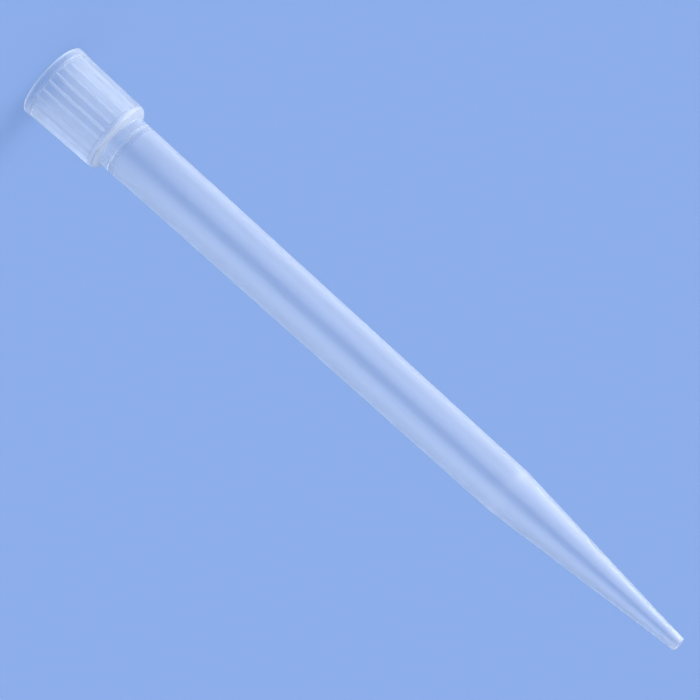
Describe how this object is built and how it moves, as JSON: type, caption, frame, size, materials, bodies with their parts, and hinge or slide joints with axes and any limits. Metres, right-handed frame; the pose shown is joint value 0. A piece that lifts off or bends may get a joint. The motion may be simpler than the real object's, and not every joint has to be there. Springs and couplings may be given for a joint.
{
  "type": "pipette tip",
  "caption": "Long natural-polypropylene pipette tip with a ribbed push-on collar, a tapered tube and a slender open cone.",
  "frame": {"origin": "centre of the mouth, in the plane of the rim that the tip stands on", "axes": "+Z along the bore from the mouth to the dispensing end; the tip is round, so X and Y are alike"},
  "size_m": [0.0147, 0.0146, 0.15],
  "materials": {
    "natural_polypropylene": "natural polypropylene, milky and see-through, satin as moulded"
  },
  "bodies": {
    "root": {"pipette_tip": "natural_polypropylene"}
  },
  "joints": []
}
